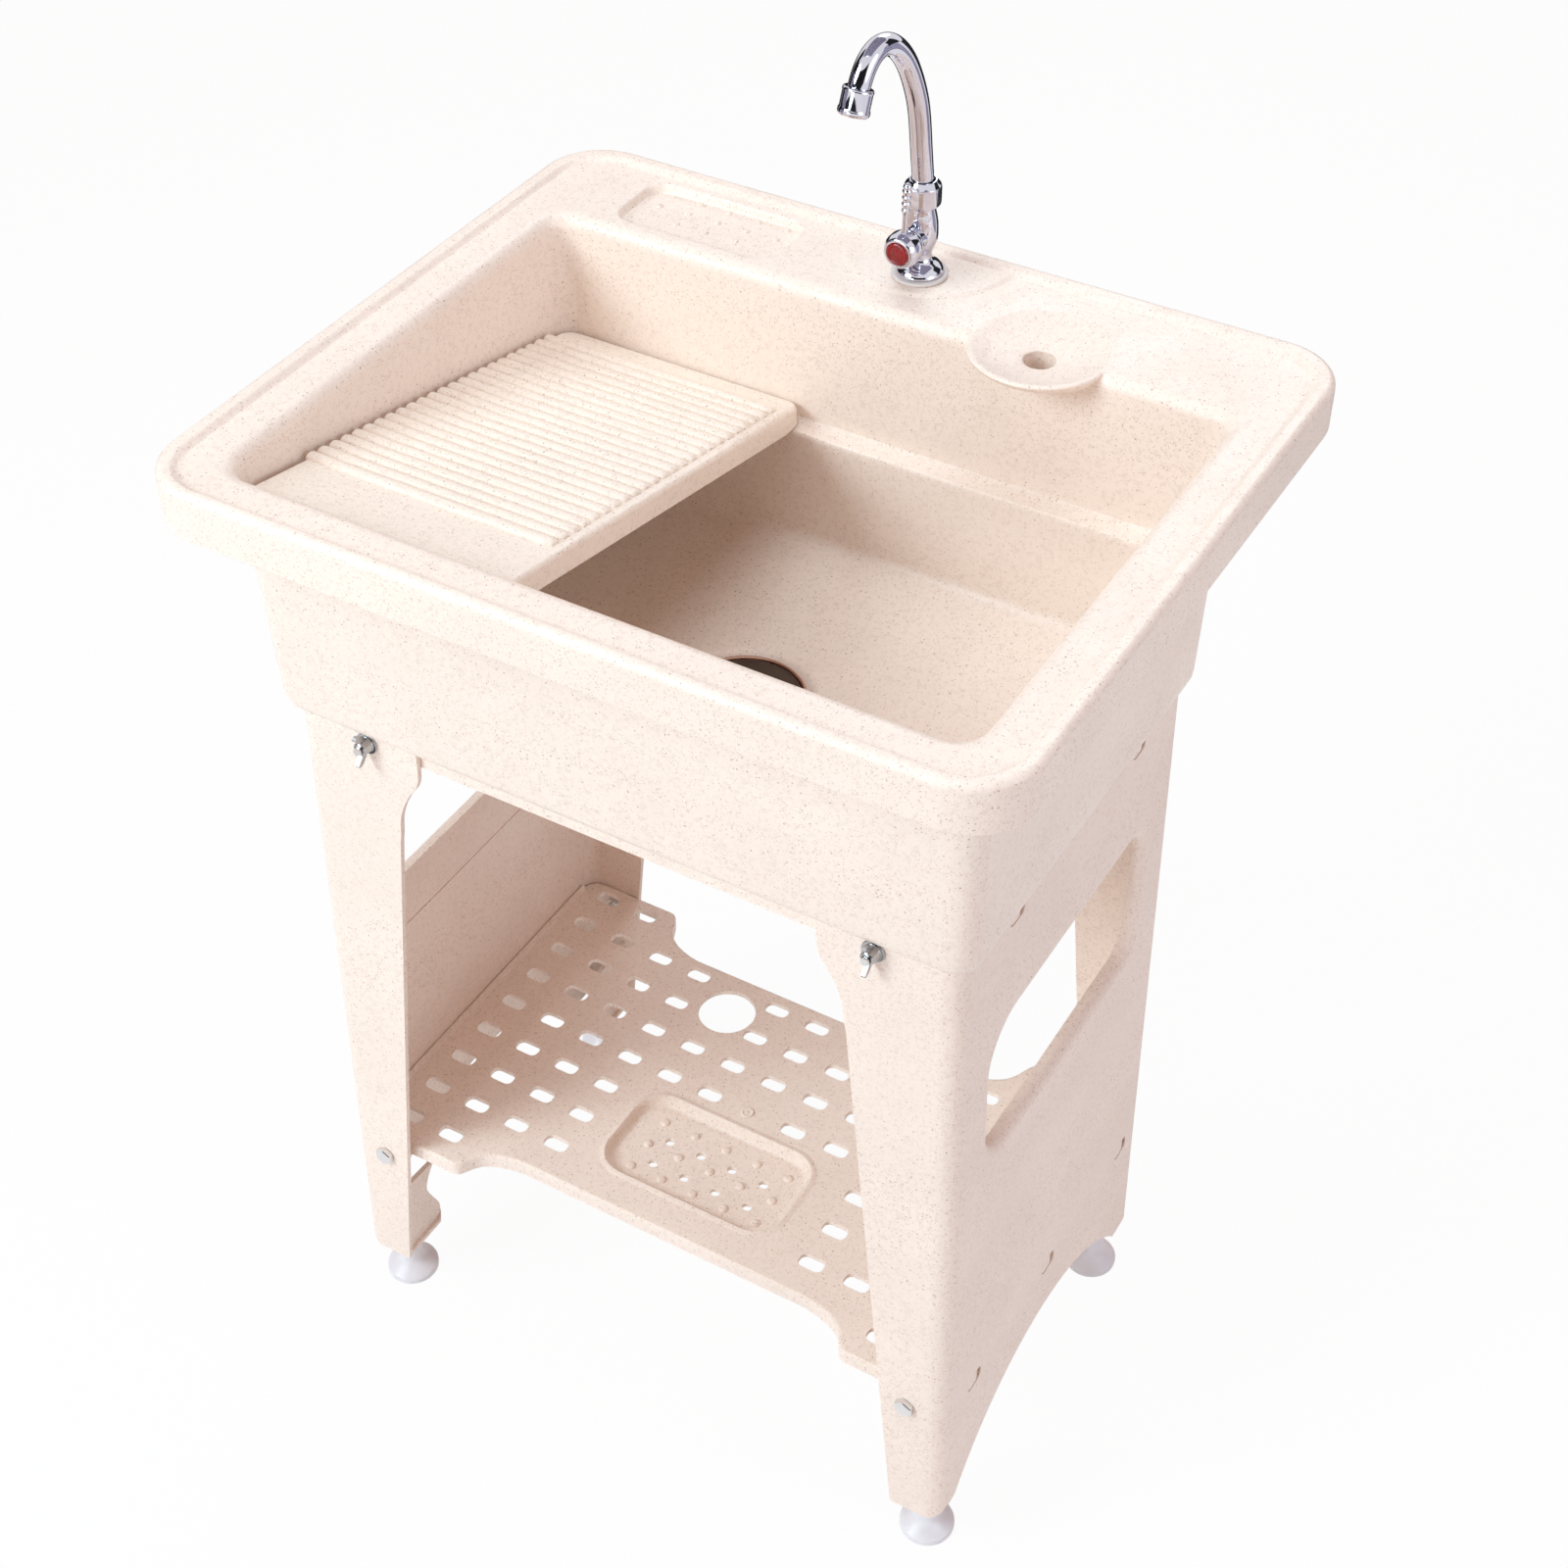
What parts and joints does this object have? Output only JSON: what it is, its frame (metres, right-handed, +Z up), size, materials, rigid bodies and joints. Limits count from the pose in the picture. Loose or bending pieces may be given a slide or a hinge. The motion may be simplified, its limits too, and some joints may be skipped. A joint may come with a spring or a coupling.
{
  "type": "laundry sink",
  "caption": "Free-standing moulded laundry sink on two side panels with a slotted shelf, lift-out washboard, strainer waste and gooseneck lever tap.",
  "frame": {"origin": "on the floor under the middle of the basin rim", "axes": "+Z up, -Y towards the user at the front, +X to the right seen from the front"},
  "size_m": [0.6, 0.5, 1.0116],
  "materials": {
    "basin_plastic": "smooth moulded, fine speckle",
    "stand_plastic": "moulded, slightly mottled",
    "board_plastic": "smooth moulded",
    "foot_plastic": "smooth moulded",
    "fitting_plastic": "smooth moulded",
    "steel": "zinc plated",
    "strainer_steel": "pressed sheet",
    "tap_chrome": "polished",
    "flange_metal": "coppery, dull",
    "seal_rubber": "matt",
    "button_red": "glossy"
  },
  "bodies": {
    "sink": {"basin": "basin_plastic", "left_side_panel": "stand_plastic", "right_side_panel": "stand_plastic", "shelf": "stand_plastic", "foot_insert_front_left": "steel", "apron_bolt_front_left": "steel", "wing_nut_front_left": "steel", "shelf_bolt_front_left": "steel", "shelf_nut_front_left": "steel", "foot_insert_front_right": "steel", "apron_bolt_front_right": "steel", "wing_nut_front_right": "steel", "shelf_bolt_front_right": "steel", "shelf_nut_front_right": "steel", "foot_insert_back_left": "steel", "apron_bolt_back_left": "steel", "wing_nut_back_left": "steel", "shelf_bolt_back_left": "steel", "shelf_nut_back_left": "steel", "foot_insert_back_right": "steel", "apron_bolt_back_right": "steel", "wing_nut_back_right": "steel", "shelf_bolt_back_right": "steel", "shelf_nut_back_right": "steel", "tap_base_washer": "fitting_plastic", "tap_body": "tap_chrome", "tap_shank": "tap_chrome", "tap_backing_washer": "seal_rubber", "tap_lock_nut": "fitting_plastic", "tap_coupling_nut": "tap_chrome", "tap_bonnet_nut": "tap_chrome", "drain_flange": "flange_metal", "drain_gasket": "seal_rubber", "drain_lock_nut": "fitting_plastic", "drain_tailpiece": "fitting_plastic"},
    "spout": {"tap_spout": "tap_chrome", "tap_aerator": "tap_chrome"},
    "handle": {"tap_spindle": "steel", "tap_handle": "tap_chrome", "tap_index_button": "button_red"},
    "washboard": {"washboard": "board_plastic"},
    "strainer": {"strainer_basket": "strainer_steel"},
    "foot_front_left": {"foot_pad_front_left": "foot_plastic", "foot_stud_front_left": "steel"},
    "foot_front_right": {"foot_pad_front_right": "foot_plastic", "foot_stud_front_right": "steel"},
    "foot_back_left": {"foot_pad_back_left": "foot_plastic", "foot_stud_back_left": "steel"},
    "foot_back_right": {"foot_pad_back_right": "foot_plastic", "foot_stud_back_right": "steel"}
  },
  "joints": [
    {"name": "spout_swivel", "type": "hinge", "parent": "sink", "child": "spout", "pos_m": [0.0044, 0.2056, 0.887], "axis": [0, 0, 1], "range_deg": [-60, 60]},
    {"name": "tap_handle_turn", "type": "hinge", "parent": "sink", "child": "handle", "pos_m": [0.0044, 0.1856, 0.854], "axis": [0, -1, 0], "range_deg": [0, 90]},
    {"name": "washboard_lift", "type": "slide", "parent": "sink", "child": "washboard", "axis": [0, 0, 1], "range_m": [0, 0.12]},
    {"name": "strainer_lift", "type": "slide", "parent": "sink", "child": "strainer", "axis": [0, 0, 1], "range_m": [0, 0.06]},
    {"name": "foot_front_left_level", "type": "slide", "parent": "sink", "child": "foot_front_left", "axis": [0, 0, -1], "range_m": [-0.008, 0.015]},
    {"name": "foot_front_right_level", "type": "slide", "parent": "sink", "child": "foot_front_right", "axis": [0, 0, -1], "range_m": [-0.008, 0.015]},
    {"name": "foot_back_left_level", "type": "slide", "parent": "sink", "child": "foot_back_left", "axis": [0, 0, -1], "range_m": [-0.008, 0.015]},
    {"name": "foot_back_right_level", "type": "slide", "parent": "sink", "child": "foot_back_right", "axis": [0, 0, -1], "range_m": [-0.008, 0.015]}
  ]
}
